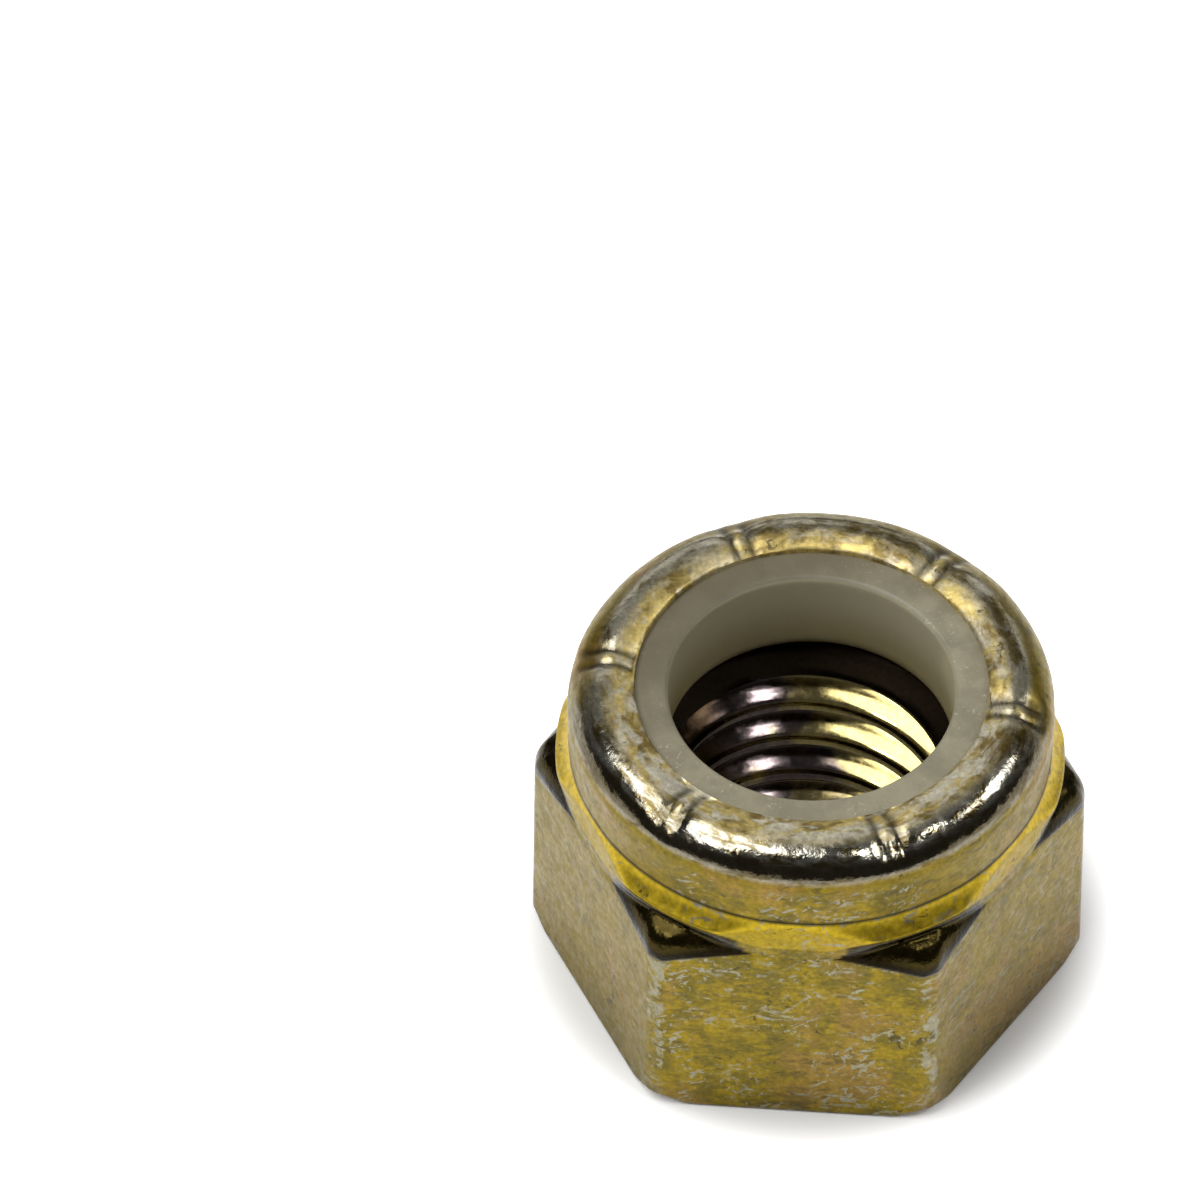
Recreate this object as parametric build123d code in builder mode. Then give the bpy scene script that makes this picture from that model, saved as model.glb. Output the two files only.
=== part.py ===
from build123d import *
import os
from math import sqrt

# A nylon insert lock nut for a 3/8 inch coarse thread, in millimetres, +Z up.
# The origin is the centre of the bearing face that the nut stands on.
# The nut is two pieces: a cold formed steel body, and a nylon ring that the
# body's rolled crown holds down and its six crimp notches keep from turning.

# Wrench size and thread
across_flats = 14.29
thread_minor_radius = 4.0
bottom_countersink_radius = 4.95
seat_counterbore_radius = 4.8
seat_counterbore_height = 7.3
thread_top_height = 6.84

# Hexagon: its top edges are rounded, and its corners are cut short and domed
blank_radius = 8.12
bottom_face_radius = 7.7
bottom_break_height = 0.42
shoulder_height = 7.7
shoulder_rounding = 0.9
dome_start_height = 6.7
dome_radius = 0.9
dome_turn = 68.0
dome_slope_length = 0.6

# Flared band over the shoulder, and the collar above it
band_radius = 7.5
band_rim_height = 7.85
band_height = 7.98
band_foot_radius = 7.0
band_foot_height = 6.3
band_sag = 0.05
collar_base_radius = 7.1
collar_base_height = 8.59
collar_top_radius = 7.16
collar_top_height = 9.87

# Rolled crown: a bead of round section that ends in the lip over the nylon
bead_radius = 1.3
bead_centre_radius = 5.89
bead_centre_height = 10.0
lip_radius = 5.22
lip_nose_chamfer = 0.08

# Nylon ring, and the recess that holds it
insert_bore_radius = 4.22
insert_outer_radius = 6.35
insert_seat_height = 7.92
insert_top_height = 10.92
insert_outer_chamfer = 0.4
insert_bore_chamfer = 0.18

# Crimp notches across the bead, pressed a few degrees off the hexagon's corners
notch_count = 6
notch_first_angle = -5.0
notch_floor_width = 0.5
notch_mouth_width = 1.7
notch_tool_height = 0.4
notch_depth = 0.2
notch_shift = 0.22
notch_turn = 140.0

bead_outer_radius = bead_centre_radius + bead_radius
crown_height = bead_centre_height + bead_radius
lip_height = bead_centre_height + sqrt(bead_radius**2 - (bead_centre_radius - lip_radius) ** 2)
notch_floor_radius = bead_centre_radius + notch_shift + bead_radius - notch_depth

# The blank that the hexagon is formed from: its wall cuts the hexagon's corners
# short, breaks them at the bottom and domes them at the top
with BuildPart() as domed_blank:
    with BuildSketch(Plane.XZ):
        with BuildLine():
            Polyline(
                (0, 0),
                (bottom_face_radius, 0),
                (blank_radius, bottom_break_height),
                (blank_radius, dome_start_height),
            )
            dome = JernArc((blank_radius, dome_start_height), (0, 1), dome_radius, dome_turn)
            slope = PolarLine(dome @ 1, dome_slope_length, direction=dome % 1)
            Polyline(slope @ 1, (0, (slope @ 1).Y), (0, 0))
        make_face()
    revolve(axis=Axis.Z)

# Where the crown may stand: within the wrench flats up to the collar, free above it
with BuildPart() as crown_room:
    with BuildSketch():
        RegularPolygon(across_flats / 2, 6, major_radius=False)
    extrude(amount=collar_base_height)
    with BuildSketch(Plane.XY.offset(collar_base_height)):
        Circle(blank_radius)
    extrude(amount=crown_height)

# Band, collar and rolled bead, one turned shape whose band the wrench flats cut
with BuildPart() as crown:
    with BuildSketch(Plane.XZ):
        with BuildLine():
            Polyline(
                (0, band_foot_height),
                (band_foot_radius, band_foot_height),
                (band_radius, band_rim_height),
                (band_radius, band_height),
            )
            SagittaArc((band_radius, band_height), (collar_base_radius, collar_base_height), band_sag)
            Polyline(
                (collar_base_radius, collar_base_height),
                (collar_top_radius, collar_top_height),
                (bead_outer_radius, bead_centre_height),
            )
            RadiusArc((bead_outer_radius, bead_centre_height), (bead_centre_radius, crown_height), -bead_radius)
            RadiusArc((bead_centre_radius, crown_height), (lip_radius, lip_height), -bead_radius)
            Polyline((lip_radius, lip_height), (0, lip_height), (0, band_foot_height))
        make_face()
    revolve(axis=Axis.Z)
    add(crown_room.part, mode=Mode.INTERSECT)

# The inside of the body: bore, countersink, counterbore, and the recess under the rolled lip
with BuildPart() as cavity:
    with BuildSketch(Plane.XZ):
        with BuildLine():
            Polyline(
                (0, 0),
                (bottom_countersink_radius, 0),
                (thread_minor_radius, bottom_countersink_radius - thread_minor_radius),
                (thread_minor_radius, thread_top_height),
                (seat_counterbore_radius, seat_counterbore_height),
                (seat_counterbore_radius, insert_seat_height),
                (insert_outer_radius, insert_seat_height),
                (insert_outer_radius, insert_top_height - insert_outer_chamfer),
                (insert_outer_radius - insert_outer_chamfer, insert_top_height),
                (lip_radius, insert_top_height),
                (lip_radius, lip_height),
                (0, lip_height),
                (0, 0),
            )
        make_face()
    revolve(axis=Axis.Z)

# One crimp notch: a wedge with a flat nose, bent over the bead, deepest at the lip and gone at the bead's side
with BuildPart() as notch:
    with BuildSketch(Plane.XY.offset(bead_centre_height)):
        with BuildLine():
            Polyline(
                (notch_floor_radius, -notch_floor_width / 2),
                (notch_floor_radius + notch_tool_height, -notch_mouth_width / 2),
                (notch_floor_radius + notch_tool_height, notch_mouth_width / 2),
                (notch_floor_radius, notch_floor_width / 2),
                close=True,
            )
        make_face()
    revolve(
        axis=Axis((bead_centre_radius + notch_shift, 0, bead_centre_height), (0, -1, 0)),
        revolution_arc=notch_turn,
    )

with BuildPart() as nut_body:
    with BuildSketch():
        RegularPolygon(across_flats / 2, 6, major_radius=False)
    extrude(amount=shoulder_height)
    fillet(nut_body.faces().sort_by(Axis.Z)[-1].edges(), shoulder_rounding)
    add(domed_blank.part, mode=Mode.INTERSECT)
    add(crown.part)
    add(cavity.part, mode=Mode.SUBTRACT)
    lip_edges = nut_body.edges().filter_by(GeomType.CIRCLE).filter_by_position(
        Axis.Z, lip_height, lip_height
    )
    chamfer(lip_edges, lip_nose_chamfer)
    with PolarLocations(0, notch_count, start_angle=notch_first_angle):
        add(notch.part, mode=Mode.SUBTRACT)
nut_body.part.label = "nut_body"

with BuildPart() as nylon_insert:
    with BuildSketch(Plane.XZ):
        with BuildLine():
            Polyline(
                (insert_bore_radius, insert_top_height - insert_bore_chamfer),
                (insert_bore_radius, insert_seat_height),
                (insert_outer_radius, insert_seat_height),
                (insert_outer_radius, insert_top_height - insert_outer_chamfer),
                (insert_outer_radius - insert_outer_chamfer, insert_top_height),
                (insert_bore_radius + insert_bore_chamfer, insert_top_height),
                close=True,
            )
        make_face()
    revolve(axis=Axis.Z)
nylon_insert.part.label = "nylon_insert"

os.makedirs("parts", exist_ok=True)
export_step(nut_body.part, "parts/nut_body.step")
export_step(nylon_insert.part, "parts/nylon_insert.step")
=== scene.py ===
import math

import bmesh
import bpy
from mathutils import Matrix, Vector, noise


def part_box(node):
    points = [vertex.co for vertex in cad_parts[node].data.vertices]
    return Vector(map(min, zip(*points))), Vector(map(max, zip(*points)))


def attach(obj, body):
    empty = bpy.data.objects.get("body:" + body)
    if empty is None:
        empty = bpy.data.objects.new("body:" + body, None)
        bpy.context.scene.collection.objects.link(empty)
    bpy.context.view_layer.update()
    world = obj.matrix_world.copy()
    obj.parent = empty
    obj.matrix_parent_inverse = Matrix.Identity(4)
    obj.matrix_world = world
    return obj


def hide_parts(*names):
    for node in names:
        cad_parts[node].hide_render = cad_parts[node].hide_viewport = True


bl_info = {
    "name": "Nylon Insert Lock Nut",
    "version": (1, 0, 0),
    "blender": (4, 5, 0),
    "location": "View3D > Sidebar > Lock Nut",
    "description": "Dresses a nylon insert lock nut in worn yellow zinc plate and turned nylon",
    "category": "Add Mesh",
}

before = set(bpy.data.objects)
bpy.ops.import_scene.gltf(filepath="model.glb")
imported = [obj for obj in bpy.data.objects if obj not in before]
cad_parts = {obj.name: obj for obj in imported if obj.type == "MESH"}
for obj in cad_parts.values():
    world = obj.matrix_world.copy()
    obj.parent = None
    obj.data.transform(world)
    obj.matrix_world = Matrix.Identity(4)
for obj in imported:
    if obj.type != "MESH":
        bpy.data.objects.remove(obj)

MM = 0.001
FULL_TURN = 2 * math.pi
SIXTH = math.radians(60)
STEEL_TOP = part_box("nut_body")[1]
NYLON_LOW, NYLON_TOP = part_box("nylon_insert")
COLLAR_TOP_RADIUS = STEEL_TOP.y - 0.03 * MM
NYLON_CHAMFER = 0.4 * MM
NYLON_BORE = 4.22 * MM

# Sections of the turned outline. Each is shaped by a rule of its own.
PLAIN, UNDERSIDE, WALL, BEAD, LIP = range(5)


def linear(red, green, blue):
    """A colour as the eye names it, from 0 to 255, in the linear values that shaders take."""
    def straighten(value):
        value /= 255
        return value / 12.92 if value <= 0.04045 else ((value + 0.055) / 1.055) ** 2.4
    return straighten(red), straighten(green), straighten(blue)


def length(name, description, default):
    """A length in metres that a user may change."""
    return bpy.props.FloatProperty(
        name=name, description=description, default=default, min=0.0,
        subtype="DISTANCE", unit="LENGTH", precision=5,
    )


def colour(name, description, default):
    """A colour that a user may change."""
    return bpy.props.FloatVectorProperty(
        name=name, description=description, default=default, size=3, min=0.0, max=1.0, subtype="COLOR"
    )


def angle_setting(name, description, default):
    """An angle that a user may change, given here in degrees."""
    return bpy.props.FloatProperty(
        name=name, description=description, default=math.radians(default), subtype="ANGLE", unit="ROTATION"
    )


def radiance(name, description, default):
    """How brightly a lamp's face shines, where 1 is the brightness of white paper in the picture."""
    return bpy.props.FloatProperty(name=name, description=description, default=default, min=0.0)


class SteelBodySizes(bpy.types.PropertyGroup):
    """Sizes of the steel body: hexagon, band, collar, rolled bead and thread."""

    across_flats: length("Across flats", "Wrench size of the hexagon", 14.29 * MM)
    blank_radius: length("Blank radius", "Radius that cuts the hexagon's corners short", STEEL_TOP.x)
    bottom_face_radius: length("Bottom face radius", "Where the bottom break starts", 7.7 * MM)
    bottom_break: length("Bottom break", "Height of the corners' bottom break", 0.42 * MM)
    bottom_rounding: length("Bottom rounding", "Rounding of the sides' bottom edges", 0.14 * MM)
    countersink_radius: length("Countersink radius", "Radius of the bottom countersink", 4.95 * MM)
    dome_start: length("Dome start", "Height at which the corners start to dome", 6.7 * MM)
    dome_radius: length("Dome radius", "Radius of the corners' dome", 0.9 * MM)
    dome_turn: angle_setting("Dome turn", "How far the dome turns in before its straight slope", 68)
    shoulder_height: length("Shoulder height", "Top of the hexagon", 7.7 * MM)
    shoulder_rounding: length("Shoulder rounding", "Rounding of the hexagon's top edges", 0.9 * MM)
    band_radius: length("Band radius", "Radius of the flared band", 7.5 * MM)
    band_rim: length("Band rim height", "Lower rim of the band", 7.85 * MM)
    band_height: length("Band height", "Where the band starts to sweep in", 7.98 * MM)
    collar_radius: length("Collar radius", "Radius at the collar's foot", 7.1 * MM)
    collar_base: length("Collar base", "Height of the collar's foot", 8.59 * MM)
    collar_top: length("Collar top", "Where the bead starts", 9.87 * MM)
    bead_radius: length("Bead radius", "Radius of the rolled bead's section", 1.3 * MM)
    lip_radius: length("Lip radius", "Radius of the lip over the nylon", 5.22 * MM)
    minor_radius: length("Thread minor radius", "Radius of the thread's crests", 4.0 * MM)
    major_radius: length("Thread major radius", "Radius of the thread's roots", 4.7625 * MM)
    pitch: length("Thread pitch", "One turn of the thread", 1.5875 * MM)
    thread_top: length("Thread top", "Where the thread opens into the counterbore", 6.84 * MM)
    counterbore_radius: length("Counterbore radius", "Radius of the bore under the nylon", 4.8 * MM)


class NylonRingSizes(bpy.types.PropertyGroup):
    """Sizes of the nylon ring."""

    bore_radius: length("Bore radius", "Radius of the plain bore", NYLON_BORE)
    outer_radius: length("Outer radius", "Radius in the body's recess", NYLON_TOP.x)
    bore_rounding: length("Bore rounding", "Rounding of the bore's top edge", 0.17 * MM)
    outer_chamfer: length("Outer chamfer", "Chamfer of the outer edge", NYLON_CHAMFER)


class FinishColours(bpy.types.PropertyGroup):
    """Colours of the plate and of the nylon."""

    olive: colour("Olive film", "The chromate film's usual colour", linear(99, 87, 26))
    gold: colour("Gold film", "The film where it is thick and clean", linear(131, 111, 20))
    rose: colour("Rose film", "The film's pink bloom", linear(132, 104, 52))
    zinc: colour("Bare zinc", "Plate that shows where the film is worn", linear(136, 132, 110))
    silver: colour("Burnished zinc", "The crown's shining bead", linear(182, 179, 166))
    # The domes' dark is their glossy film, darkened further as painted shade for the dark room they mirror
    dark: colour("Dark film", "The glossy film on the corners' domes", linear(54, 46, 21))
    bronze: colour("Bore film", "The film in the thread", linear(186, 170, 112))
    purple: colour("Purple film", "The thread's purple bloom", linear(98, 88, 88))
    nylon: colour("Nylon", "The ring's grey beige", linear(141, 135, 113))
    floor: colour("Floor", "The pale floor", linear(236, 236, 236))


class StageSettings(bpy.types.PropertyGroup):
    """Camera and lamps."""

    elevation: angle_setting("Elevation", "How far the camera looks down", 49.6)
    azimuth: angle_setting("Azimuth", "How far the camera stands round from the front", 3.7)
    roll: angle_setting("Roll", "How far the camera leans", 0.75)
    distance: length("Distance", "From the camera to the nut", 0.82)
    key: radiance("Key lamp", "Radiance of the large lamp on the left", 4.05)
    front: radiance("Front lamp", "Radiance of the small lamp in front", 8.0)
    right: radiance("Right lamp", "Radiance of the lamp on the right", 6.3)
    top: radiance("Top lamp", "Radiance of the small lamp above the right", 15.0)
    back: radiance("Back lamp", "Radiance of the wide, dim panel at the back", 0.6)


def soft_least(first, second, blend):
    """The lesser of two lengths, with the corner between them rounded over the blend."""
    part = min(max(0.5 + 0.5 * (second - first) / blend, 0.0), 1.0)
    return second + (first - second) * part - blend * part * (1.0 - part)


def ramp(value, low, high):
    """0 below low and 1 above high, with a smooth rise between."""
    part = min(max((value - low) / (high - low), 0.0), 1.0)
    return part * part * (3 - 2 * part)


def eased(value, low, high):
    """0 below low and 1 above high, straight between, with its ends rounded a little."""
    part = min(max((value - low) / (high - low), 0.0), 1.0)
    return (part + part * part * (3 - 2 * part)) / 2


def bell(value, width):
    """1 at 0, falling away over the width on both sides."""
    return math.exp(-((value / width) ** 2))


def spaced(low, high, count):
    """Evenly spaced values from low to high, without low."""
    return [low + (high - low) * (i + 1) / count for i in range(count)]


def flat_reach(angle, apothem):
    """How far the hexagon's side lies from the axis in that direction."""
    return apothem / math.cos(angle % SIXTH - SIXTH / 2)


def side_apothem(height, sizes):
    """Distance of the hexagon's sides from the axis, with the top and bottom edges rounded."""
    apothem = sizes.across_flats / 2
    top = sizes.shoulder_rounding
    above = min(max(height - (sizes.shoulder_height - top), 0.0), top)
    bottom = sizes.bottom_rounding
    below = min(max(bottom - height, 0.0), bottom)
    return apothem - top + math.sqrt(top**2 - above**2) - bottom + math.sqrt(bottom**2 - below**2)


def blank_reach(height, sizes):
    """Radius of the domed blank that the hexagon is formed from."""
    if height < sizes.bottom_break:
        spread = sizes.blank_radius - sizes.bottom_face_radius
        return sizes.bottom_face_radius + spread * height / sizes.bottom_break
    rise = height - sizes.dome_start
    if rise <= 0:
        return sizes.blank_radius
    turned = sizes.dome_radius * math.sin(sizes.dome_turn)
    if rise < turned:
        return sizes.blank_radius - sizes.dome_radius + math.sqrt(sizes.dome_radius**2 - rise**2)
    slope_start = sizes.blank_radius - sizes.dome_radius * (1 - math.cos(sizes.dome_turn))
    return slope_start - (rise - turned) * math.tan(sizes.dome_turn)


# The band's lean below its rim, and how far the cove above it is hollowed
RIM_LEAN = 0.42
COVE_HOLLOW = 0.2 * MM


def crown_reach(height, sizes):
    """Radius of the band's foot, the band, the cove above it and the collar."""
    if height < sizes.band_rim:
        return sizes.band_radius - (sizes.band_rim - height) * RIM_LEAN
    if height < sizes.band_height:
        return sizes.band_radius
    if height < sizes.collar_base:
        part = (height - sizes.band_height) / (sizes.collar_base - sizes.band_height)
        hollow = COVE_HOLLOW * part * (1 - part)
        return sizes.band_radius + (sizes.collar_radius - sizes.band_radius) * part - hollow
    part = (height - sizes.collar_base) / (sizes.collar_top - sizes.collar_base)
    return sizes.collar_radius + (COLLAR_TOP_RADIUS - sizes.collar_radius) * part


# Roundings between the flats and the dome, between the flats and the band, and where the two meet
DOME_BLEND = 0.07 * MM
BAND_BLEND = 0.14 * MM
MEETING_BLEND = 0.06 * MM


def wall_reach(angle, height, sizes):
    """Radius of the outside below the bead: the domed hexagon and the crown, cut by the same flats."""
    side = flat_reach(angle, side_apothem(height, sizes))
    hexagon = soft_least(blank_reach(height, sizes), side, DOME_BLEND)
    crown = soft_least(crown_reach(height, sizes), flat_reach(angle, sizes.across_flats / 2), BAND_BLEND)
    return -soft_least(-hexagon, -crown, MEETING_BLEND)


# Crimp notches: broad presses across the bead, each with two grooves round a nub
NOTCH_ANGLES = [math.radians(value) for value in (-5, 55, 115, 175, 235, 295)]
NOTCH_WIDTH = 0.7 * MM
NOTCH_PRESS = 0.16 * MM
GROOVE_OFFSET = 0.27 * MM
GROOVE_WIDTH = 0.17 * MM
GROOVE_DEPTH = 0.05 * MM
NUB_WIDTH = 0.16 * MM
NUB_HEIGHT = 0.07 * MM

# Places round the bead's section, in degrees from its outermost point up and over to the lip
NOTCH_START, NOTCH_FULL = 12, 62
NUB_TURN, NUB_SPAN = 82, 16

# Where finishes start and end round the bead's section, each over a range of the same degrees
POLISH_START = (12, 26)
SHADE_START, SHADE_END = (14, 26), (38, 52)
RUBBED_START, RUBBED_END = (58, 74), (84, 100)
LIP_START = (60, 88)


def notch_shares(angle, bead_angle, radius):
    """Shares from 0 to 1 of a notch's broad press, of its two grooves and of the nub between them."""
    turn = math.degrees(bead_angle)
    reach = ramp(turn, NOTCH_START, NOTCH_FULL)
    aside = min((radius * math.remainder(angle - notch, FULL_TURN) for notch in NOTCH_ANGLES), key=abs)
    grooves = bell(aside - GROOVE_OFFSET, GROOVE_WIDTH) + bell(aside + GROOVE_OFFSET, GROOVE_WIDTH)
    nub = bell(aside, NUB_WIDTH) * bell(turn - NUB_TURN, NUB_SPAN)
    return bell(aside, NOTCH_WIDTH) * reach, grooves * reach, nub


# The mesh is closest at this angle, between a corner and a notch, and at every sixth of a turn from it
CLOSEST = math.radians(-3)
CLOSENESS = 0.6


def gathered(angle):
    """The same angle, moved so that the mesh is closest near the hexagon's corners and the notches."""
    return angle - CLOSENESS * math.sin(6 * (angle - CLOSEST)) / 6


# Zones of the steel, of which each vertex has a share from 0 to 1 for the finish to read: the burnished
# bead, the lip over the nylon, the gold band, the corners' domes, the worn edges, how scuffed a side is,
# the thread, and painted shade: in creases, under the band, at the domes' feet, in the notches' grooves,
# on the bead's outer slope in front and in the counterbore
BODY_ZONES = ("shine", "lip", "band", "dome", "edge", "scuff", "bore", "painted_shade")


def wall_heights(sizes):
    """Heights of the wall's rings of vertices, closest at its bottom edge, its dome and its band."""
    edge_top = 0.16 * MM
    plain_top = sizes.dome_start - 0.2 * MM
    heights = spaced(0, edge_top, 4) + spaced(edge_top, sizes.bottom_break, 4)
    heights += spaced(sizes.bottom_break, plain_top, 14) + spaced(plain_top, sizes.band_height, 30)
    heights += spaced(sizes.band_height, sizes.collar_base, 12)
    return heights + spaced(sizes.collar_base, sizes.collar_top, 10)


def body_outline(sizes):
    """The outline that is turned, from inside the countersink, round the outside, to the nylon's seat.

    Each point is (radius, height, section, angle round the bead's section).
    """
    bottom = sizes.countersink_radius
    points = [(bottom - 0.08 * MM, 0.08 * MM, PLAIN, 0), (bottom, 0, PLAIN, 0)]
    points += [(radius, 0, UNDERSIDE, 0) for radius in spaced(bottom, sizes.bottom_face_radius, 6)]
    points += [(sizes.blank_radius, height, WALL, 0) for height in wall_heights(sizes)]
    centre_radius = STEEL_TOP.y - sizes.bead_radius
    lip_angle = math.acos((sizes.lip_radius - centre_radius) / sizes.bead_radius)
    for turn in spaced(0, lip_angle, 30):
        points.append((centre_radius, STEEL_TOP.z - sizes.bead_radius, BEAD, turn))
    lip_top = STEEL_TOP.z - sizes.bead_radius * (1 - math.sin(lip_angle))
    nylon_top = NYLON_TOP.z
    for height in spaced(lip_top, nylon_top, 4):
        points.append((sizes.lip_radius, height, LIP, 0))
    recess = NYLON_TOP.x
    chamfered = recess - NYLON_CHAMFER
    points += [(radius, nylon_top, PLAIN, 0) for radius in spaced(sizes.lip_radius, chamfered, 3)]
    points += [(recess, height, PLAIN, 0) for height in (nylon_top - NYLON_CHAMFER, NYLON_LOW.z)]
    bore = sizes.counterbore_radius
    points += [(radius, NYLON_LOW.z, PLAIN, 0) for radius in spaced(recess, bore + 0.04 * MM, 4)]
    points.append((bore + 0.01 * MM, NYLON_LOW.z - 0.04 * MM, PLAIN, 0))
    return points


def chain(bm, points):
    """An open chain of vertices through the points, joined by edges."""
    verts = [bm.verts.new(point) for point in points]
    edges = [bm.edges.new(pair) for pair in zip(verts, verts[1:])]
    return verts, edges


# Where the thread's flanks start and end, and how high its first turn starts, all as shares of the pitch
OUTWARD_FLANK = (0.1, 0.44)
INWARD_FLANK = (0.58, 0.92)
THREAD_PHASE = 0.07

# How fast the thread's top widens into the counterbore on the way up, and the rounding of both openings
COUNTERBORE_SLOPE = 0.8 / 0.46

OPENING_BLEND = 0.1 * MM

# The thread's mesh ends at these heights. It is bridged to the rest within a short reach of both ends
THREAD_LOW = 0.15 * MM
THREAD_HIGH = NYLON_LOW.z - 0.1 * MM
RIM_REACH = 0.2 * MM


def thread_outline(sizes, low, high):
    """The thread's section at angle 0: flat crests and roots joined by rounded flanks."""
    per_pitch = 16
    first = math.floor(low / sizes.pitch) - 1
    turns = math.ceil(high / sizes.pitch) + 1 - first
    depth = sizes.major_radius - sizes.minor_radius
    points = []
    for i in range(turns * per_pitch + 1):
        part = i / per_pitch % 1
        rise = eased(part, *OUTWARD_FLANK) - eased(part, *INWARD_FLANK)
        turns_up = first + THREAD_PHASE + i / per_pitch
        points.append((sizes.minor_radius + depth * rise, 0, turns_up * sizes.pitch))
    return points


def cut_thread(sizes, low, high):
    """Turns the thread up its helix, opens it out at both ends and trims them level."""
    bm = bmesh.new()
    bore, painted_shade = bm.verts.layers.float.new("bore"), bm.verts.layers.float.new("painted_shade")
    verts, edges = chain(bm, thread_outline(sizes, low, high))
    steps = 240
    bmesh.ops.spin(
        bm, geom=verts + edges, cent=(0, 0, 0), axis=(0, 0, 1), dvec=(0, 0, sizes.pitch / steps),
        angle=FULL_TURN, steps=steps, use_merge=False,
    )
    bmesh.ops.remove_doubles(bm, verts=bm.verts[:], dist=0.002 * MM)
    for vert in bm.verts:
        radius = math.hypot(vert.co.x, vert.co.y)
        opening = sizes.minor_radius + COUNTERBORE_SLOPE * (vert.co.z - sizes.thread_top)
        least = max(sizes.countersink_radius - vert.co.z, min(opening, sizes.counterbore_radius))
        wider = -soft_least(-radius, -least, OPENING_BLEND) / radius
        vert.co.x *= wider
        vert.co.y *= wider
        vert[bore] = 1.0
        # Painted shade fills the counterbore above the thread's top
        vert[painted_shade] = ramp(vert.co.z, sizes.thread_top - 0.29 * MM, sizes.thread_top + 0.01 * MM)
    for level, side in ((low, {"clear_inner": True}), (high, {"clear_outer": True})):
        bmesh.ops.bisect_plane(
            bm, geom=bm.verts[:] + bm.edges[:] + bm.faces[:],
            plane_co=(0, 0, level), plane_no=(0, 0, 1), **side,
        )
    bmesh.ops.dissolve_degenerate(bm, dist=0.003 * MM, edges=bm.edges[:])
    thread = bpy.data.meshes.new("thread")
    bm.to_mesh(thread)
    bm.free()
    return thread


def rim_edges(bm, low, high):
    """Open edges between two heights."""
    return [
        edge for edge in bm.edges
        if edge.is_boundary and all(low <= vert.co.z <= high for vert in edge.verts)
    ]


# The bead's surface wanders in by up to twice this much, over waves of this length
WAVINESS = 0.02 * MM
WAVE_LENGTH = 0.9 * MM


def shape_body(bm, sizes, layers):
    """Gives each turned vertex its place on the hexagon, crown or bead, and its share of each zone."""
    for vert in bm.verts:
        section = vert[layers["section"]]
        radius = math.hypot(vert.co.x, vert.co.y)
        angle = gathered(math.atan2(vert.co.y, vert.co.x))
        height = vert.co.z
        bead_angle = vert[layers["turn"]]
        if section == UNDERSIDE:
            radius = min(radius, flat_reach(angle, side_apothem(0, sizes)))
        elif section == WALL:
            radius = wall_reach(angle, height, sizes)
            mark_wall(vert, angle, height, sizes, layers)
        elif section == BEAD:
            notch, groove, nub = notch_shares(angle, bead_angle, radius)
            spot = Vector((radius * math.cos(angle), radius * math.sin(angle), bead_angle * MM))
            reach = sizes.bead_radius - NOTCH_PRESS * notch - GROOVE_DEPTH * groove + NUB_HEIGHT * nub
            reach -= WAVINESS * (1 + noise.noise(spot / WAVE_LENGTH))
            height += reach * math.sin(bead_angle)
            radius += reach * math.cos(bead_angle)
            mark_bead(vert, angle, math.degrees(bead_angle), groove, nub, layers)
        elif section == LIP:
            vert[layers["lip"]] = 1.0
        vert.co = (radius * math.cos(angle), radius * math.sin(angle), height)


def mark_bead(vert, angle, turn, groove, nub, layers):
    """Shine, lip and painted shade: polished and painted dark underneath in front, rubbed on top at the
    back.
    """
    front = ramp(-math.sin(angle), -0.1, 0.5)
    rubbed = 0.8 * ramp(turn, *RUBBED_START) * (1 - ramp(turn, *RUBBED_END))
    polished = ramp(turn, *POLISH_START) * (1 - ramp(turn, *LIP_START))
    shade_underneath = ramp(turn, *SHADE_START) * (1 - ramp(turn, *SHADE_END))
    vert[layers["shine"]] = (rubbed + (polished - rubbed) * front) * (1 - nub)
    vert[layers["lip"]] = max(ramp(turn, *LIP_START), nub)
    # Painted shade on the bead's outer slope in front, and in the notches' grooves
    vert[layers["painted_shade"]] = max(shade_underneath * front, 0.8 * groove) * (1 - nub)


# How scuffed each side of the hexagon is, anticlockwise from the one between 0 and 60 degrees
SIDE_SCUFFS = (0.6, 0.8, 0.5, 0.3, 1.0, 0.55)

# Half the width of a line between two finishes
LINE_BLUR = 0.03 * MM

# The foot of the band's gold film: above the rim at the corners, and lower in the middle of each side
FOOT_RISE = 0.08 * MM
FOOT_DIP = 0.45 * MM
DIP_RANGE = (0.8 * MM, 2.6 * MM)

# A corner's dark dome lies above a crease, which falls with the wall's radius from a level on the axis,
# and below a line that rises from the dome's tip, this far from the side's middle, to the corner
CREASE_LEVEL = 11.26 * MM
CREASE_FALL = 0.58
TIP_ASIDE = 1.3 * MM
LINE_RISE = 0.85

# How worn the hexagon's edges are, and how much of its gold the band keeps where the flats cut it
CORNER_WEAR, SHOULDER_WEAR, BOTTOM_WEAR = 0.7, 0.55, 0.6
CUT_GOLD = 0.4


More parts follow.
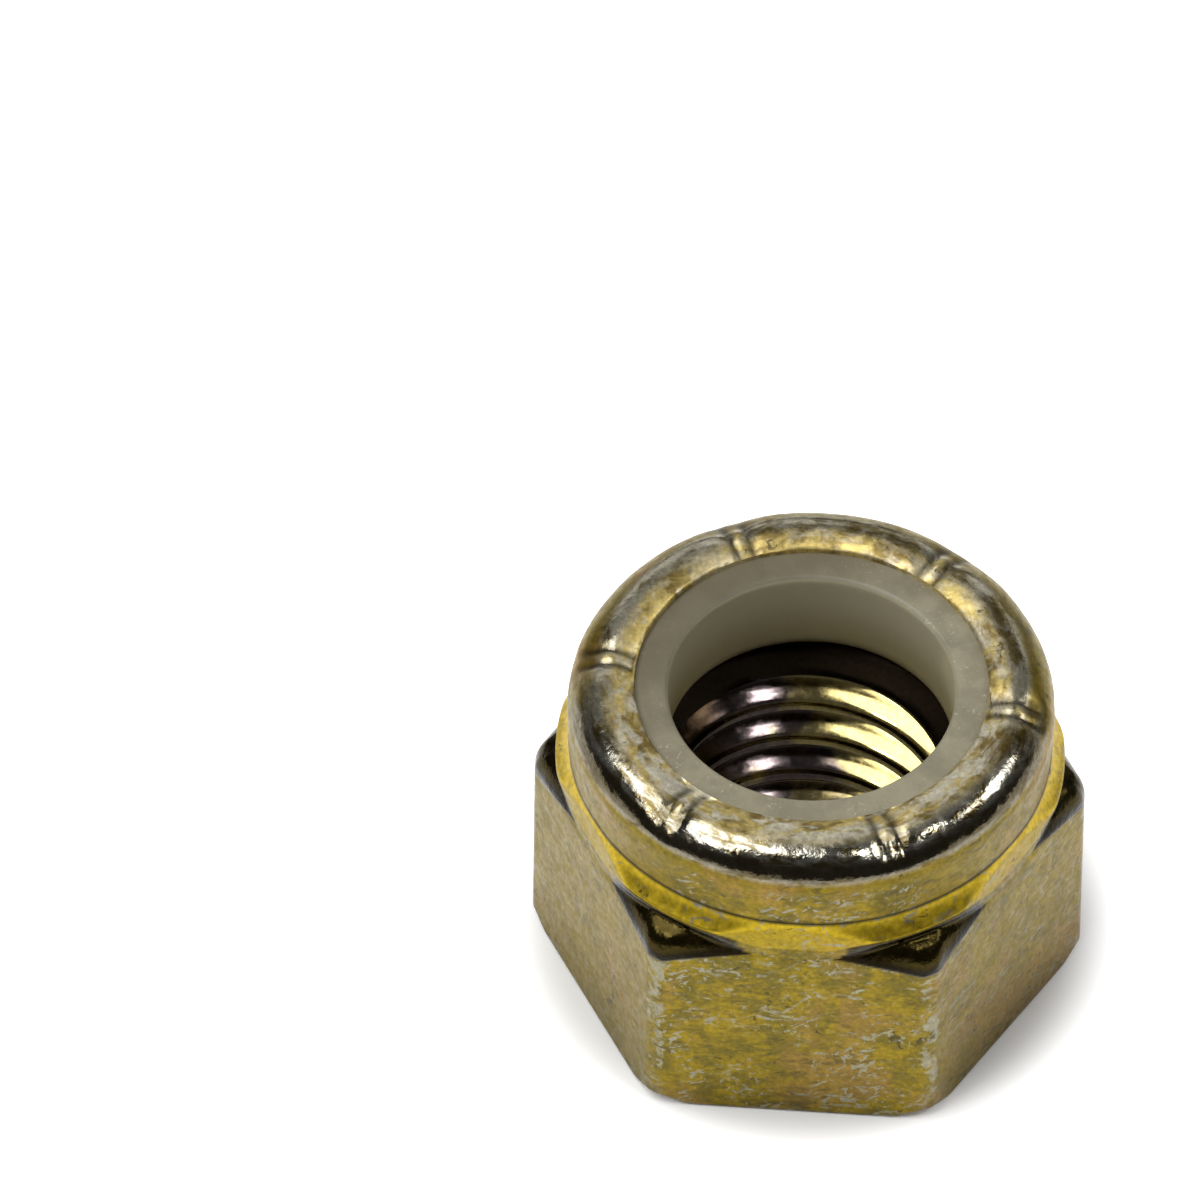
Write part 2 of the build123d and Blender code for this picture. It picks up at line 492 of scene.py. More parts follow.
def mark_wall(vert, angle, height, sizes, layers):
    """Shares of edge, dome, band, painted shade and scuffing on the wall."""
    side = flat_reach(angle, side_apothem(height, sizes))
    blank = blank_reach(height, sizes)
    aside = sizes.across_flats / 2 * math.tan(abs(angle % SIXTH - SIXTH / 2))
    above_foot = height - sizes.band_rim - FOOT_RISE + FOOT_DIP * (1 - ramp(aside, *DIP_RANGE))
    banded = ramp(above_foot, -LINE_BLUR, LINE_BLUR)
    above_crease = height + CREASE_FALL * min(side, blank) - CREASE_LEVEL
    below_line = LINE_RISE * (aside - TIP_ASIDE) - above_crease
    domed = ramp(min(above_crease, below_line), -LINE_BLUR, LINE_BLUR) * (1 - banded)
    corner = CORNER_WEAR * ramp(side - blank, -0.16 * MM, 0.02 * MM)
    shoulder = SHOULDER_WEAR * bell(above_crease + 0.04 * MM, 0.08 * MM)
    low_edge = BOTTOM_WEAR * bell(height - 0.05 * MM, 0.16 * MM)
    vert[layers["dome"]] = domed
    vert[layers["edge"]] = max(corner, shoulder, low_edge) * (1 - domed) * (1 - banded)
    flat_cut = ramp(crown_reach(height, sizes) - flat_reach(angle, sizes.across_flats / 2), 0, 0.1 * MM)
    swept = 1 - ramp(height, sizes.collar_base - 0.08 * MM, sizes.collar_base)
    vert[layers["band"]] = banded * swept * (1 - (1 - CUT_GOLD) * flat_cut)
    # Painted shade in the crease at the collar's foot, under the band's foot and along the foot of each
    # dome
    crease = bell(height - sizes.collar_base, 0.06 * MM)
    under_band = 0.7 * bell(above_foot, 0.05 * MM) * ramp(aside, 1.2 * MM, 2.2 * MM)
    dome_foot = domed * (1 - ramp(above_crease, 0.15 * MM, 0.45 * MM))
    vert[layers["painted_shade"]] = max(crease, under_band, dome_foot)
    vert[layers["scuff"]] = SIDE_SCUFFS[int(angle % FULL_TURN // SIXTH)]


def steel_body_mesh(sizes):
    """The whole steel body: turned shell, hexagon, crimped bead and cut thread, closed into one skin."""
    bm = bmesh.new()
    layers = {name: bm.verts.layers.float.new(name) for name in BODY_ZONES + ("turn",)}
    layers["section"] = bm.verts.layers.int.new("section")
    outline = body_outline(sizes)
    verts, edges = chain(bm, [(radius, 0, height) for radius, height, section, turn in outline])
    for vert, (radius, height, section, turn) in zip(verts, outline):
        vert[layers["section"]] = section
        vert[layers["turn"]] = turn
    bmesh.ops.spin(
        bm, geom=verts + edges, cent=(0, 0, 0), axis=(0, 0, 1), angle=FULL_TURN, steps=360, use_merge=True
    )
    shape_body(bm, sizes, layers)
    thread = cut_thread(sizes, THREAD_LOW, THREAD_HIGH)
    bm.from_mesh(thread)
    bpy.data.meshes.remove(thread)
    bmesh.ops.bridge_loops(bm, edges=rim_edges(bm, 0, RIM_REACH))
    bmesh.ops.bridge_loops(bm, edges=rim_edges(bm, NYLON_LOW.z - RIM_REACH, NYLON_LOW.z))
    bmesh.ops.recalc_face_normals(bm, faces=bm.faces[:])
    return bm


def nylon_outline(sizes):
    """The ring's section: a closed outline with a rounded bore edge and a chamfered outer edge."""
    low, top = NYLON_LOW.z, NYLON_TOP.z
    inner, outer = sizes.bore_radius, sizes.outer_radius
    corner = sizes.bore_rounding
    points = []
    for turn in spaced(0, math.pi / 2, 5):
        points.append((inner + corner * (1 - math.cos(turn)), top - corner * (1 - math.sin(turn))))
    points += [(radius, top) for radius in spaced(inner + corner, outer - sizes.outer_chamfer, 8)]
    points += [(outer, top - sizes.outer_chamfer), (outer, low)]
    points += [(radius, low) for radius in spaced(outer, inner + 0.12 * MM, 3)]
    points += [(inner, height) for height in spaced(low + 0.02 * MM, top - corner, 12)]
    return points


def nylon_ring_mesh(sizes):
    """The nylon ring, turned from its closed section."""
    bm = bmesh.new()
    verts, edges = chain(bm, [(radius, 0, height) for radius, height in nylon_outline(sizes)])
    edges.append(bm.edges.new((verts[-1], verts[0])))
    bmesh.ops.spin(
        bm, geom=verts + edges, cent=(0, 0, 0), axis=(0, 0, 1), angle=FULL_TURN, steps=240, use_merge=True
    )
    bmesh.ops.recalc_face_normals(bm, faces=bm.faces[:])
    return bm


def finished_object(name, bm, material):
    """Makes an object of a finished bmesh, shaded smooth with its true corners left sharp."""
    mesh = bpy.data.meshes.new(name)
    bm.to_mesh(mesh)
    bm.free()
    mesh.shade_smooth()
    mesh.set_sharp_from_angle(angle=math.radians(50))
    mesh.materials.append(material)
    piece = bpy.data.objects.new(name, mesh)
    bpy.context.scene.collection.objects.link(piece)
    return piece


class NodeSheet:
    """A node tree with short ways to add and wire nodes."""

    def __init__(self, tree):
        self.tree = tree

    def node(self, kind, **values):
        """Adds a node. Values name its settings, or its input sockets with spaces as underscores."""
        made = self.tree.nodes.new(kind)
        for key, value in values.items():
            if hasattr(made, key):
                setattr(made, key, value)
            else:
                self.feed(made.inputs[key.replace("_", " ")], value)
        return made

    def feed(self, socket, value):
        """Wires an output to the socket, or sets its value."""
        if isinstance(value, bpy.types.NodeSocket):
            self.tree.links.new(value, socket)
        else:
            socket.default_value = value

    def maths(self, operation, first, second):
        """What the operation makes of two values, each an output or a number."""
        made = self.node("ShaderNodeMath", operation=operation)
        self.feed(made.inputs[0], first)
        self.feed(made.inputs[1], second)
        return made.outputs[0]

    def plus(self, first, second):
        return self.maths("ADD", first, second)

    def minus(self, first, second):
        return self.maths("SUBTRACT", first, second)

    def times(self, first, *others):
        """The product of values."""
        for value in others:
            first = self.maths("MULTIPLY", first, value)
        return first

    def most(self, first, *others):
        """The greatest of values."""
        for value in others:
            first = self.maths("MAXIMUM", first, value)
        return first

    def vector_maths(self, operation, first, **values):
        """A vector node whose first input is the given output."""
        made = self.node("ShaderNodeVectorMath", operation=operation, **values)
        self.feed(made.inputs[0], first)
        return made

    def mix_colour(self, factor, first, second):
        """The first colour where the factor is 0, and the second where it is 1."""
        made = self.node("ShaderNodeMix", data_type="RGBA")
        self.feed(made.inputs[0], factor)
        for socket, value in ((made.inputs[6], first), (made.inputs[7], second)):
            self.feed(socket, value if isinstance(value, bpy.types.NodeSocket) else (*value, 1.0))
        return made.outputs[2]

    def mix_value(self, factor, first, second):
        """The first value where the factor is 0, and the second where it is 1."""
        made = self.node("ShaderNodeMix", data_type="FLOAT")
        self.feed(made.inputs[0], factor)
        self.feed(made.inputs[2], first)
        self.feed(made.inputs[3], second)
        return made.outputs[0]

    def remap(self, value, low, high, to_low=0.0, to_high=1.0):
        """Moves the value smoothly from one range to another, and stops it at both ends."""
        made = self.node("ShaderNodeMapRange", interpolation_type="SMOOTHSTEP")
        sockets = ("Value", "From Min", "From Max", "To Min", "To Max")
        for name, given in zip(sockets, (value, low, high, to_low, to_high)):
            self.feed(made.inputs[name], given)
        return made.outputs[0]

    def noise(self, vector, scale, detail=4.0, roughness=0.55, distortion=0.0):
        """A noise from 0 to 1 with that many waves to the metre."""
        made = self.node(
            "ShaderNodeTexNoise", Vector=vector, Scale=scale,
            Detail=detail, Roughness=roughness, Distortion=distortion,
        )
        return made.outputs["Fac"]

    def stretched(self, vector, turn, scale):
        """The coordinates turned, then scaled unevenly, so that a pattern on them is drawn out."""
        turned = self.node("ShaderNodeMapping", Vector=vector, Rotation=turn)
        return self.node("ShaderNodeMapping", Vector=turned.outputs[0], Scale=scale).outputs[0]

    def attribute(self, name):
        """A zone's share, as the mesh keeps it."""
        return self.node("ShaderNodeAttribute", attribute_name=name).outputs["Fac"]

    def mask(self, group, vector, **values):
        """The mask that a shared group makes of the coordinates and its own values."""
        return self.node("ShaderNodeGroup", node_tree=group, Vector=vector, **values).outputs["Mask"]


def mask_group(name, values):
    """A shared shader node group that makes a mask of coordinates and named values.

    Gives its sheet, what the group is given and what it has to make.
    """
    tree = bpy.data.node_groups.new(name, "ShaderNodeTree")
    tree.interface.new_socket("Vector", in_out="INPUT", socket_type="NodeSocketVector")
    for value in values:
        tree.interface.new_socket(value, in_out="INPUT", socket_type="NodeSocketFloat")
    tree.interface.new_socket("Mask", in_out="OUTPUT", socket_type="NodeSocketFloat")
    sheet = NodeSheet(tree)
    return sheet, sheet.node("NodeGroupInput").outputs, sheet.node("NodeGroupOutput").inputs


def speckle_group():
    """Ragged spots: a fine noise, cut off at a level that a coarse noise moves."""
    sheet, given, made = mask_group("Speckle", ("Scale", "Level", "Softness"))
    fine = sheet.noise(given["Vector"], given["Scale"], detail=6.0, roughness=0.62, distortion=0.6)
    coarse = sheet.noise(given["Vector"], sheet.times(given["Scale"], 0.27), detail=3.0)
    both = sheet.plus(sheet.times(fine, 0.62), sheet.times(coarse, 0.38))
    end = sheet.plus(given["Level"], given["Softness"])
    sheet.feed(made["Mask"], sheet.remap(both, given["Level"], end))
    return sheet.tree


def scratch_group():
    """Short scratches in two directions, gathered in patches, built once for all materials."""
    if "Scratches" in bpy.data.node_groups:
        return bpy.data.node_groups["Scratches"]
    sheet, given, made = mask_group("Scratches", ("Scale", "Level"))
    marks = 0.0
    for turn in ((0.3, 0.5, 0.4), (-0.4, 0.9, 1.9)):
        drawn = sheet.stretched(given["Vector"], turn, (1.0, 7.0, 7.0))
        line = sheet.noise(drawn, given["Scale"], detail=3.0, roughness=0.5, distortion=0.4)
        marks = sheet.most(marks, sheet.remap(line, given["Level"], sheet.plus(given["Level"], 0.05)))
    patches = sheet.noise(given["Vector"], sheet.times(given["Scale"], 0.8), detail=2.0)
    sheet.feed(made["Mask"], sheet.times(marks, sheet.remap(patches, 0.45, 0.6)))
    return sheet.tree


def new_material(name):
    """A material with an empty Principled shader, its node sheet and its Object coordinates."""
    material = bpy.data.materials.new(name)
    material.use_nodes = True
    material.node_tree.nodes.clear()
    sheet = NodeSheet(material.node_tree)
    shader = sheet.node("ShaderNodeBsdfPrincipled")
    output = sheet.node("ShaderNodeOutputMaterial")
    sheet.feed(output.inputs["Surface"], shader.outputs[0])
    return material, sheet, shader, sheet.node("ShaderNodeTexCoord").outputs["Object"]


def split_place(sheet, place):
    """The place's X, Y and Z, and the same place with its height left out."""
    parts = sheet.node("ShaderNodeSeparateXYZ", Vector=place).outputs
    return parts, sheet.node("ShaderNodeCombineXYZ", X=parts["X"], Y=parts["Y"]).outputs[0]


# A pattern round the axis is read from a circle this small, so it is drawn out where the nut is wider
PATTERN_RADIUS = 2.4 * MM
PATTERN_LEAN = 0.7


def round_axis(sheet, place):
    """Coordinates in which a pattern is drawn out round the axis."""
    parts, flat = split_place(sheet, place)
    radius = sheet.vector_maths("LENGTH", flat).outputs["Value"]
    around = sheet.vector_maths("NORMALIZE", flat).outputs[0]
    circle = sheet.vector_maths("SCALE", around, Scale=PATTERN_RADIUS).outputs[0]
    across = sheet.minus(radius, sheet.times(parts["Z"], PATTERN_LEAN))
    both = sheet.vector_maths("ADD", circle)
    sheet.feed(both.inputs[1], sheet.node("ShaderNodeCombineXYZ", Z=across).outputs[0])
    return both.outputs[0]


# Tints that go with the plate's own colours, and the colours of painted shade in creases, on the bead,
# in the counterbore and in the thread
SPECK_BROWN = linear(72, 64, 34)
SPECK_DARK = linear(62, 54, 30)
LIP_BROWN = linear(128, 108, 54)
LIP_GOLD = linear(206, 184, 112)
LIP_ZINC = linear(214, 208, 186)
BEAD_STAIN = linear(92, 80, 46)
BEAD_SHADE = linear(84, 76, 58)
CREASE_SHADE = linear(22, 18, 10)
THREAD_SHADE = linear(46, 36, 26)
SEAT_SHADE = linear(16, 12, 7)

# How much brighter the gold is on the band, and how fast the thread's purple bloom and painted shade,
# which darken its left side, fade to the right
BAND_GAIN = 2.3
BLOOM_FALL = 80.0


class ZincPlate:
    """Yellow chromated zinc: mottled film, worn to grey zinc at edges, in spots and in scratches."""

    def __init__(self, colours):
        self.colours = colours
        self.material, self.sheet, self.shader, self.place = new_material("yellow_zinc_steel")
        self.zones = {name: self.sheet.attribute(name) for name in BODY_ZONES}
        self.speckle, self.scratches = speckle_group(), scratch_group()
        self.level_wise = self.sheet.stretched(self.place, (0, 0, 0), (1.0, 1.0, 2.6))
        self.round_axis = round_axis(self.sheet, self.place)
        self.parts = self.sheet.node("ShaderNodeSeparateXYZ", Vector=self.place).outputs
        self.grain = self.sheet.noise(self.place, 7000, detail=4.0, roughness=0.6)
        self.polished = self.sheet.most(self.zones["shine"], self.zones["dome"], self.zones["bore"])
        # The counterbore under the nylon, painted black as shade
        self.seat = self.sheet.times(self.zones["bore"], self.zones["painted_shade"])

    def spots(self, vector, scale, level, softness):
        """The mask of ragged spots on the coordinates."""
        return self.sheet.mask(self.speckle, vector, Scale=scale, Level=level, Softness=softness)

    def film(self):
        """Olive to gold in clouds, with rose blooms and brown specks, and clean gold on the band."""
        sheet, colours = self.sheet, self.colours
        broad = sheet.noise(self.place, 700, detail=6.0, roughness=0.66, distortion=0.6)
        small = sheet.noise(self.level_wise, 2000, detail=6.0, roughness=0.64, distortion=0.5)
        clouds = sheet.plus(sheet.times(broad, 0.55), sheet.times(small, 0.45))
        patchy = sheet.mix_value(self.zones["scuff"], 0.5, sheet.remap(clouds, 0.43, 0.57))
        film = sheet.mix_colour(patchy, colours.olive, colours.gold)
        blooms = self.spots(self.place, scale=380, level=0.5, softness=0.1)
        film = sheet.mix_colour(sheet.times(blooms, 0.6), film, colours.rose)
        specks = self.spots(self.level_wise, scale=1700, level=0.54, softness=0.08)
        film = sheet.mix_colour(sheet.times(specks, 0.6), film, SPECK_BROWN)
        banded = tuple(BAND_GAIN * channel for channel in colours.gold)
        return sheet.mix_colour(sheet.times(self.zones["band"], 0.8), film, banded)

    def worn_film(self):
        """The film, worn to the zinc in spots, in scratches, at ragged edges and on the lip and bead."""
        sheet, zones = self.sheet, self.zones
        bare = sheet.most(zones["dome"], zones["bore"], sheet.times(zones["shine"], 0.8))
        coated = sheet.minus(1.0, bare)
        patches = self.spots(self.level_wise, scale=1500, level=0.56, softness=0.06)
        scratches = sheet.mask(self.scratches, self.place, Scale=950, Level=0.6)
        edge_level = sheet.minus(0.68, sheet.times(zones["edge"], 0.29))
        frayed = self.spots(self.place, scale=2400, level=edge_level, softness=0.07)
        front = sheet.remap(self.parts["Y"], -4 * MM, 4 * MM, 1.0, 0.5)
        rubbed = self.spots(self.round_axis, scale=3600, level=0.44, softness=0.14)
        worn = sheet.most(
            sheet.times(sheet.most(patches, scratches), zones["scuff"]),
            sheet.times(frayed, 0.9),
            sheet.times(rubbed, zones["lip"], front),
        )

        streaks = self.spots(self.round_axis, scale=2900, level=0.4, softness=0.16)
        lip_film = sheet.mix_colour(streaks, LIP_BROWN, LIP_GOLD)
        film = sheet.mix_colour(zones["lip"], self.film(), lip_film)
        zinc = sheet.mix_colour(zones["lip"], self.colours.zinc, LIP_ZINC)
        base = sheet.mix_colour(sheet.times(worn, coated), film, zinc)

        clean = self.spots(self.round_axis, scale=3000, level=0.4, softness=0.16)
        bead = sheet.mix_colour(clean, BEAD_STAIN, self.colours.silver)
        base = sheet.mix_colour(zones["shine"], base, bead)
        specks = self.spots(self.place, scale=3400, level=0.6, softness=0.05)
        return sheet.mix_colour(sheet.times(specks, 0.8, coated), base, SPECK_DARK)

    def thread_film(self):
        """Bronze in the thread, with a random purple bloom held to the left as painted shade, dark brown
        further left.
        """
        sheet, across = self.sheet, self.parts["X"]
        bloom = sheet.minus(sheet.noise(self.place, 320, detail=3.0), sheet.times(across, BLOOM_FALL))
        browned = sheet.remap(across, -3.4 * MM, -1.6 * MM)
        purple = sheet.mix_colour(browned, THREAD_SHADE, self.colours.purple)
        return sheet.mix_colour(sheet.remap(bloom, 0.47, 0.68), self.colours.bronze, purple)

    def colour(self):
        """Each zone's own colour, with painted shade in the creases and painted black shade under the
        nylon, and a fine grain.
        """
        sheet, zones = self.sheet, self.zones
        # The domes take the dark colour: their film, darkened further as painted shade
        base = sheet.mix_colour(zones["dome"], self.worn_film(), self.colours.dark)
        base = sheet.mix_colour(zones["bore"], base, self.thread_film())
        # Painted shade: near black in creases and grooves, dull grey brown on the bead's painted dark band
        shade = sheet.mix_colour(zones["shine"], CREASE_SHADE, BEAD_SHADE)
        base = sheet.mix_colour(sheet.times(zones["painted_shade"], 0.95), base, shade)
        base = sheet.mix_colour(self.seat, base, SEAT_SHADE)
        value = sheet.remap(self.grain, 0.25, 0.75, 0.78, 1.22)
        grained = sheet.node("ShaderNodeHueSaturation", Color=base, Value=value)
        sheet.feed(self.shader.inputs["Base Color"], grained.outputs[0])

    def gloss(self):
        """Glossy on the bead, the domes and the thread, and satin elsewhere."""
        sheet, zones = self.sheet, self.zones
        fine = sheet.noise(self.place, 3200, detail=5.0, roughness=0.6)
        matt = sheet.remap(fine, 0.3, 0.7, 0.32, 0.5)
        bright = sheet.plus(sheet.remap(fine, 0.35, 0.75, 0.09, 0.22), sheet.times(zones["dome"], 0.1))
        roughness = sheet.mix_value(self.seat, sheet.mix_value(self.polished, matt, bright), 0.45)
        sheet.feed(self.shader.inputs["Roughness"], roughness)
        metallic = sheet.minus(sheet.mix_value(self.polished, 0.9, 1.0), sheet.times(zones["lip"], 0.25))
        sheet.feed(self.shader.inputs["Metallic"], metallic)

    def relief(self):
        """Ripples and grain everywhere but in the thread, and dents on the bead and the domes."""
        sheet, zones = self.sheet, self.zones
        ripple = sheet.noise(self.place, 1000, detail=4.0, roughness=0.55)
        height = sheet.plus(sheet.times(ripple, 0.6), sheet.times(self.grain, 0.14))
        height = sheet.times(height, sheet.minus(1.0, sheet.times(zones["bore"], 0.85)))
        dents = sheet.times(sheet.noise(self.place, 2200, detail=4.0, roughness=0.55), 1.5)
        dented = sheet.most(zones["shine"], sheet.times(zones["dome"], 1.4))
        height = sheet.plus(height, sheet.times(dents, dented))
        bump = sheet.node("ShaderNodeBump", Strength=0.4, Distance=0.05 * MM, Height=height)
        sheet.feed(self.shader.inputs["Normal"], bump.outputs[0])


def yellow_zinc_material(colours):
    """The steel body's finish."""
    plate = ZincPlate(colours)
    plate.colour()
    plate.gloss()
    plate.relief()
    return plate.material


# Tints that go with the nylon's own colour, and the colours of its painted shade
NYLON_SCRATCH = linear(196, 190, 168)
NYLON_SHADE = linear(94, 86, 66)
NYLON_DEEP_SHADE = linear(122, 108, 58)


def nylon_material(colours):
    """Turned nylon: grey beige with faint marks and scratches and a soft gloss. Painted shade darkens it
    to the left and back and to olive down the bore, and painted light makes the bore's wall paler.
    """
    material, sheet, shader, place = new_material("nylon")
    parts, flat = split_place(sheet, place)
    around = sheet.vector_maths("NORMALIZE", flat).outputs[0]
    spread = sheet.vector_maths("SCALE", around, Scale=40.0).outputs[0]
    rays = sheet.noise(spread, 1.6, detail=5.0, roughness=0.7)
    cloud = sheet.noise(place, 900, detail=6.0, roughness=0.65)
    tone = sheet.plus(sheet.times(rays, 0.2), sheet.times(cloud, 0.8))
    # Darker and lighter tones of the nylon, and the bore wall's tone, made paler as painted light
    dark, light, wall = (
        tuple(min(gain * channel, 1.0) for channel in colours.nylon) for gain in (0.84, 1.14, 1.65)
    )
    base = sheet.mix_colour(sheet.remap(tone, 0.35, 0.65), dark, light)
    scratched = sheet.mask(scratch_group(), place, Scale=1500.0, Level=0.64)
    base = sheet.mix_colour(sheet.times(scratched, 0.5), base, NYLON_SCRATCH)
    # Painted shade darkens the ring towards its left and back
    aside = sheet.minus(parts["X"], parts["Y"])
    base = sheet.mix_colour(sheet.remap(aside, -7.5 * MM, 1.5 * MM, 0.8, 0.0), base, NYLON_SHADE)
    # Painted light makes the bore's wall paler than the ring's top
    from_axis = sheet.vector_maths("LENGTH", flat).outputs["Value"]
    on_wall = sheet.remap(from_axis, NYLON_BORE - 0.01 * MM, NYLON_BORE + 0.07 * MM, 1.0, 0.0)
    base = sheet.mix_colour(on_wall, base, wall)
    # Painted shade turns the bore's wall olive lower down
    depth = sheet.remap(parts["Z"], NYLON_LOW.z, NYLON_TOP.z - 0.3 * MM, 0.8, 0.0)
    sheet.feed(shader.inputs["Base Color"], sheet.mix_colour(depth, base, NYLON_DEEP_SHADE))
    sheet.feed(shader.inputs["Roughness"], sheet.remap(tone, 0.3, 0.7, 0.38, 0.5))
    bump = sheet.node("ShaderNodeBump", Strength=0.3, Distance=0.02 * MM, Height=rays)
    sheet.feed(shader.inputs["Normal"], bump.outputs[0])
    shader.inputs["Subsurface Weight"].default_value = 0.15
    shader.inputs["Subsurface Radius"].default_value = (1.0, 0.9, 0.7)
    shader.inputs["Subsurface Scale"].default_value = 0.4 * MM
    return material


# The floor keeps its shadow out to the first distance from the axis, and glows fully beyond the second
SHADOW_START = 7.2 * MM
SHADOW_END = 9.8 * MM
FLOOR_GLOW = 0.85


def floor_material(colours):
    """A pale floor that the camera and the metal see as white, and that keeps the nut's shadow."""
    material, sheet, shader, place = new_material("pale_floor")
    shader.inputs["Base Color"].default_value = (*colours.floor, 1.0)
    shader.inputs["Roughness"].default_value = 0.9
    shader.inputs["Specular IOR Level"].default_value = 0.0
    shader.inputs["Emission Color"].default_value = (1.0, 1.0, 1.0, 1.0)
    rays = sheet.node("ShaderNodeLightPath").outputs
    seen = sheet.most(rays["Is Camera Ray"], rays["Is Glossy Ray"], rays["Is Transmission Ray"])
    from_axis = sheet.vector_maths("LENGTH", place).outputs["Value"]
    open_floor = sheet.remap(from_axis, SHADOW_START, SHADOW_END)
    sheet.feed(shader.inputs["Emission Strength"], sheet.times(seen, FLOOR_GLOW, open_floor))
    return material


def steel_body_object(scene):
    """The steel body, without the two layers that only shaped it."""
    bm = steel_body_mesh(scene.steel_body_sizes)
    piece = finished_object("steel_body", bm, yellow_zinc_material(scene.finish_colours))
    for name in ("turn", "section"):
        piece.data.attributes.remove(piece.data.attributes[name])
    return piece


class LOCKNUT_OT_steel_body(bpy.types.Operator):
    """Build the steel body with its hexagon, crimped crown and thread"""

    bl_idname = "locknut.steel_body"
    bl_label = "Steel Body"

    def execute(self, context):
        piece = steel_body_object(context.scene)
        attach(piece, "root")
        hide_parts("nut_body")
        return {"FINISHED"}


class LOCKNUT_OT_nylon_ring(bpy.types.Operator):
    """Build the nylon ring that the crown holds"""

    bl_idname = "locknut.nylon_ring"
    bl_label = "Nylon Ring"

    def execute(self, context):
        bm = nylon_ring_mesh(context.scene.nylon_ring_sizes)
        piece = finished_object("nylon_ring", bm, nylon_material(context.scene.finish_colours))
        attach(piece, "root")
        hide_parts("nylon_insert")
        return {"FINISHED"}


# The photograph's square frame, the pixel where it shows a point of the nut's axis, and its scale there
IMAGE_SIDE = 1200
NUT_PIXEL = (809.3, 790.5)
NUT_POINT = Vector((0, 0, 6.24 * MM))
PIXELS_PER_METRE = 33.92464 / MM


def direction(azimuth, elevation):
    """The way out from the nut at an azimuth, 0 in front and 90 degrees right, and an elevation."""
    return Vector((
        math.sin(azimuth) * math.cos(elevation),
        -math.cos(azimuth) * math.cos(elevation),
        math.sin(elevation),
    ))


def place_camera(context, settings):
    """A long lens that looks past the nut, so that the nut stands where the photograph has it."""
    ahead = direction(settings.azimuth, settings.elevation)
    level = Vector((math.cos(settings.azimuth), math.sin(settings.azimuth), 0))
    over = ahead.cross(level)
    right = math.cos(settings.roll) * level + math.sin(settings.roll) * over
    up = math.cos(settings.roll) * over - math.sin(settings.roll) * level
    aside, below = ((pixel - IMAGE_SIDE / 2) / PIXELS_PER_METRE for pixel in NUT_PIXEL)
    place = NUT_POINT + ahead * settings.distance - right * aside + up * below
    data = bpy.data.cameras.new("camera")
    data.sensor_width = 36
    data.lens = data.sensor_width * settings.distance * PIXELS_PER_METRE / IMAGE_SIDE
    data.clip_start = 0.01
    data.clip_end = 10
    camera = bpy.data.objects.new("camera", data)
    camera.matrix_world = Matrix.Translation(place) @ Matrix((right, up, ahead)).transposed().to_4x4()
    context.scene.collection.objects.link(camera)
    context.scene.camera = camera


# Each lamp's azimuth and elevation in degrees, its distance, and its face's width and height in metres
LAMPS = {
    "key": (-76, 64, 0.4, (0.36, 0.3)),
    "front": (-50, 46, 0.4, (0.1, 0.07)),
    "right": (102, 42, 0.4, (0.16, 0.09)),
    "top": (60, 59.5, 0.4, (0.07, 0.06)),
    "back": (180, 22, 0.5, (0.7, 0.2)),
}


def place_lamp(context, name, radiance):
    """A soft lamp that faces the nut."""
    azimuth, elevation, distance, size = LAMPS[name]
    outwards = direction(math.radians(azimuth), math.radians(elevation))
    data = bpy.data.lights.new(f"{name}_lamp", "AREA")
    data.shape = "RECTANGLE"
    data.size, data.size_y = size
    data.energy = radiance * math.pi * data.size * data.size_y
    lamp = bpy.data.objects.new(data.name, data)
    lamp.location = NUT_POINT + outwards * distance
    lamp.rotation_euler = outwards.to_track_quat("Z", "Y").to_euler()
    context.scene.collection.objects.link(lamp)


ROOM_GREY = (0.1, 0.1, 0.1)
WHITE = (1.0, 1.0, 1.0)


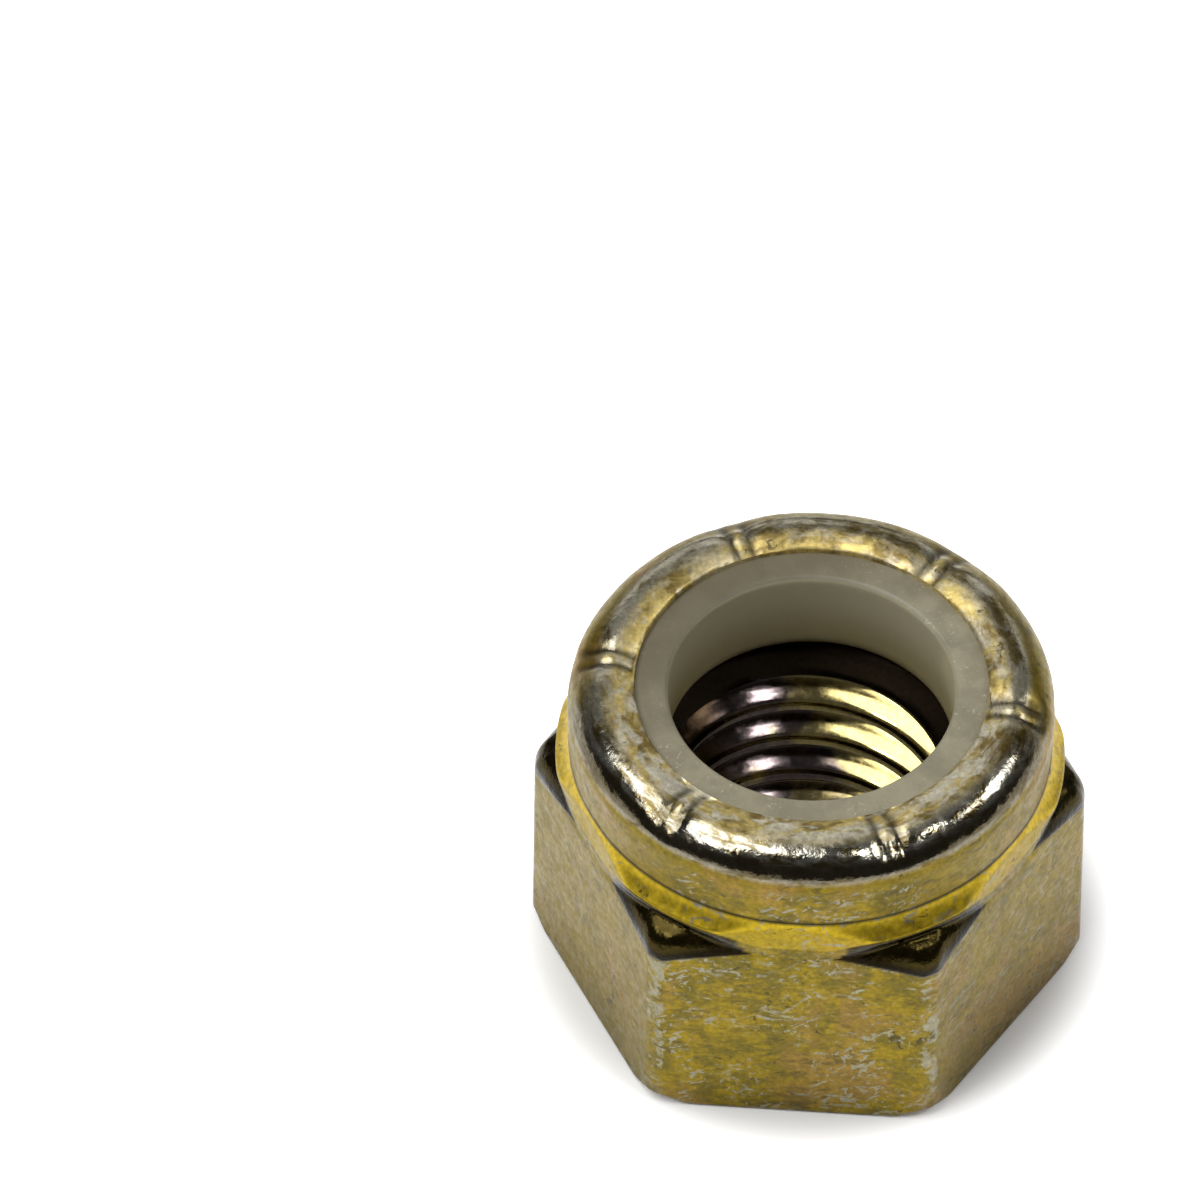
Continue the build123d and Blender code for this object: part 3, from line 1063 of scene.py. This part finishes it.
def light_world(context):
    """A dim grey room for the metal to mirror, which the camera sees as white."""
    world = bpy.data.worlds.new("room")
    world.use_nodes = True
    world.node_tree.nodes.clear()
    sheet = NodeSheet(world.node_tree)
    rays = sheet.node("ShaderNodeLightPath").outputs
    seen = sheet.mix_colour(rays["Is Camera Ray"], ROOM_GREY, WHITE)
    background = sheet.node("ShaderNodeBackground", Color=seen)
    sheet.node("ShaderNodeOutputWorld", Surface=background.outputs[0])
    context.scene.world = world


class LOCKNUT_OT_stage(bpy.types.Operator):
    """Lay the pale floor and set the lamps, the room and the camera"""

    bl_idname = "locknut.stage"
    bl_label = "Stage"

    def execute(self, context):
        settings = context.scene.stage_settings
        bm = bmesh.new()
        bmesh.ops.create_circle(bm, cap_ends=True, segments=96, radius=0.5)
        bmesh.ops.translate(bm, verts=bm.verts[:], vec=(0, 0, -0.005 * MM))
        floor = finished_object("floor", bm, floor_material(context.scene.finish_colours))
        for name in LAMPS:
            place_lamp(context, name, getattr(settings, name))
        light_world(context)
        place_camera(context, settings)
        context.scene.view_settings.view_transform = "Standard"
        return {"FINISHED"}


class LOCKNUT_PT_panel(bpy.types.Panel):
    """Lists the nut's pieces and its stage in the sidebar"""

    bl_idname = "LOCKNUT_PT_panel"
    bl_label = "Lock Nut"
    bl_space_type = "VIEW_3D"
    bl_region_type = "UI"
    bl_category = "Lock Nut"

    def draw(self, context):
        for operator in OPERATORS:
            self.layout.operator(operator.bl_idname)


GROUPS = {
    "steel_body_sizes": SteelBodySizes,
    "nylon_ring_sizes": NylonRingSizes,
    "finish_colours": FinishColours,
    "stage_settings": StageSettings,
}
OPERATORS = (LOCKNUT_OT_steel_body, LOCKNUT_OT_nylon_ring, LOCKNUT_OT_stage)


def register():
    """Registers the classes, and gives the scene its settings."""
    for cls in (*GROUPS.values(), *OPERATORS, LOCKNUT_PT_panel):
        bpy.utils.register_class(cls)
    for name, group in GROUPS.items():
        setattr(bpy.types.Scene, name, bpy.props.PointerProperty(type=group))


def unregister():
    """Takes the settings and the classes away again."""
    for name in GROUPS:
        delattr(bpy.types.Scene, name)
    for cls in (LOCKNUT_PT_panel, *reversed(OPERATORS), *reversed(GROUPS.values())):
        bpy.utils.unregister_class(cls)


def main():
    """Builds the pieces and the stage."""
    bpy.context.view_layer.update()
    register()
    bpy.ops.locknut.steel_body()
    bpy.ops.locknut.nylon_ring()
    bpy.ops.locknut.stage()


if __name__ == "__main__":
    main()
